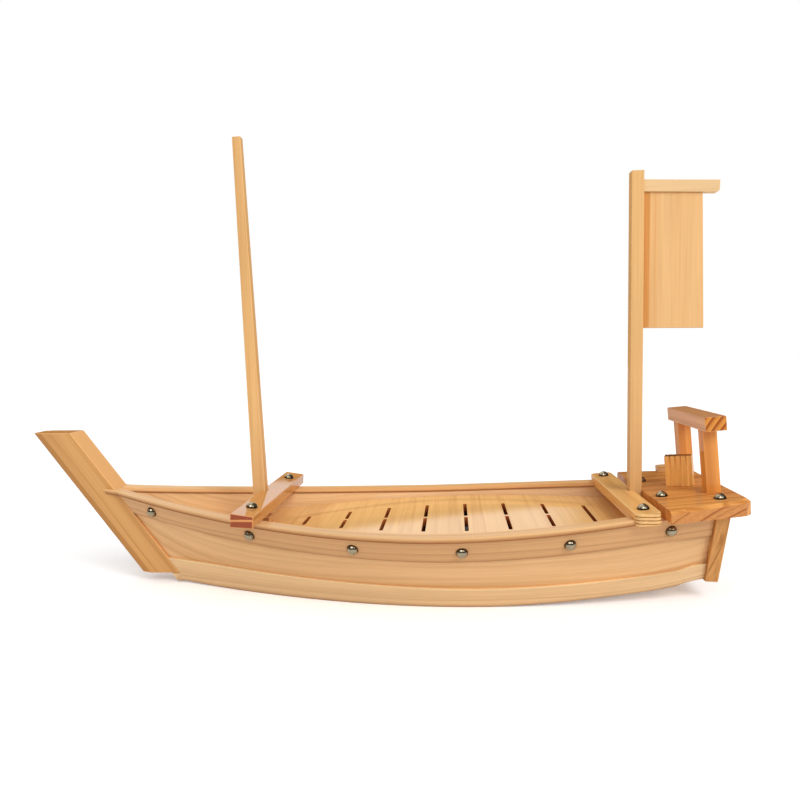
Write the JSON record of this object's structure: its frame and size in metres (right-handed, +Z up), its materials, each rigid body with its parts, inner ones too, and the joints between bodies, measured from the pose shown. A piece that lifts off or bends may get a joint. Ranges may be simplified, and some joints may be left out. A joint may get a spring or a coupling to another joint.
{
  "type": "sushi boat serving platter",
  "caption": "Wooden sushi serving boat with a slotted deck, flared planked sides, a gate-shaped stern handle and lift-out masts, one with a flag board",
  "frame": {"origin": "on the resting plane, below the middle of the length and on the centreline", "axes": "+X towards the stern, +Y to starboard, +Z up"},
  "size_m": [0.713, 0.238, 0.4612],
  "materials": {
    "pine_side": "clear gloss lacquer over pale honey pine",
    "pine_rail": "clear gloss lacquer over pale pine",
    "pine_stem": "clear gloss lacquer, straight grain",
    "pine_transom": "clear gloss lacquer, upright grain",
    "pine_deck": "high gloss lacquer",
    "pine_beam": "clear gloss lacquer, dark end grain",
    "pine_mast": "clear satin lacquer",
    "pine_flag": "clear satin lacquer, upright grain",
    "pine_stern_deck": "clear gloss lacquer, strong grain",
    "pine_handle": "clear satin lacquer",
    "pine_bottom": "plain planed wood",
    "nail_metal": "antique nickel-brass, polished dome"
  },
  "bodies": {
    "hull": {"bottom_board": "pine_bottom", "stem_post": "pine_stem", "transom": "pine_transom", "port_side_plank": "pine_side", "starboard_side_plank": "pine_side", "port_wale": "pine_side", "starboard_wale": "pine_side", "port_lower_strake": "pine_side", "starboard_lower_strake": "pine_side", "port_rail": "pine_rail", "starboard_rail": "pine_rail", "deck_board": "pine_deck", "frame_1": "pine_bottom", "frame_2": "pine_bottom", "frame_3": "pine_bottom", "frame_4": "pine_bottom", "fore_step": "pine_bottom", "rear_step": "pine_bottom", "fore_beam": "pine_beam", "rear_beam": "pine_beam", "stern_cleat": "pine_bottom", "stern_deck": "pine_stern_deck", "port_post": "pine_handle", "starboard_post": "pine_handle", "post_dowels": "pine_bottom", "lintel": "pine_handle", "lintel_dowels": "pine_bottom", "fluted_block": "pine_handle", "small_block": "pine_handle", "port_wale_nails": "nail_metal", "starboard_wale_nails": "nail_metal", "fore_beam_nails": "nail_metal", "rear_beam_nails": "nail_metal", "stern_deck_nails": "nail_metal"},
    "fore_mast": {"fore_mast": "pine_mast"},
    "rear_mast": {"rear_mast": "pine_mast", "yard": "pine_mast", "yard_dowel": "pine_bottom", "flag_board": "pine_flag"}
  },
  "joints": [
    {"name": "fore_mast_lift", "type": "slide", "parent": "hull", "child": "fore_mast", "axis": [-0.034, 0, 0.9994], "range_m": [0, 0.05]},
    {"name": "rear_mast_lift", "type": "slide", "parent": "hull", "child": "rear_mast", "axis": [0, 0, 1], "range_m": [0, 0.05]}
  ]
}
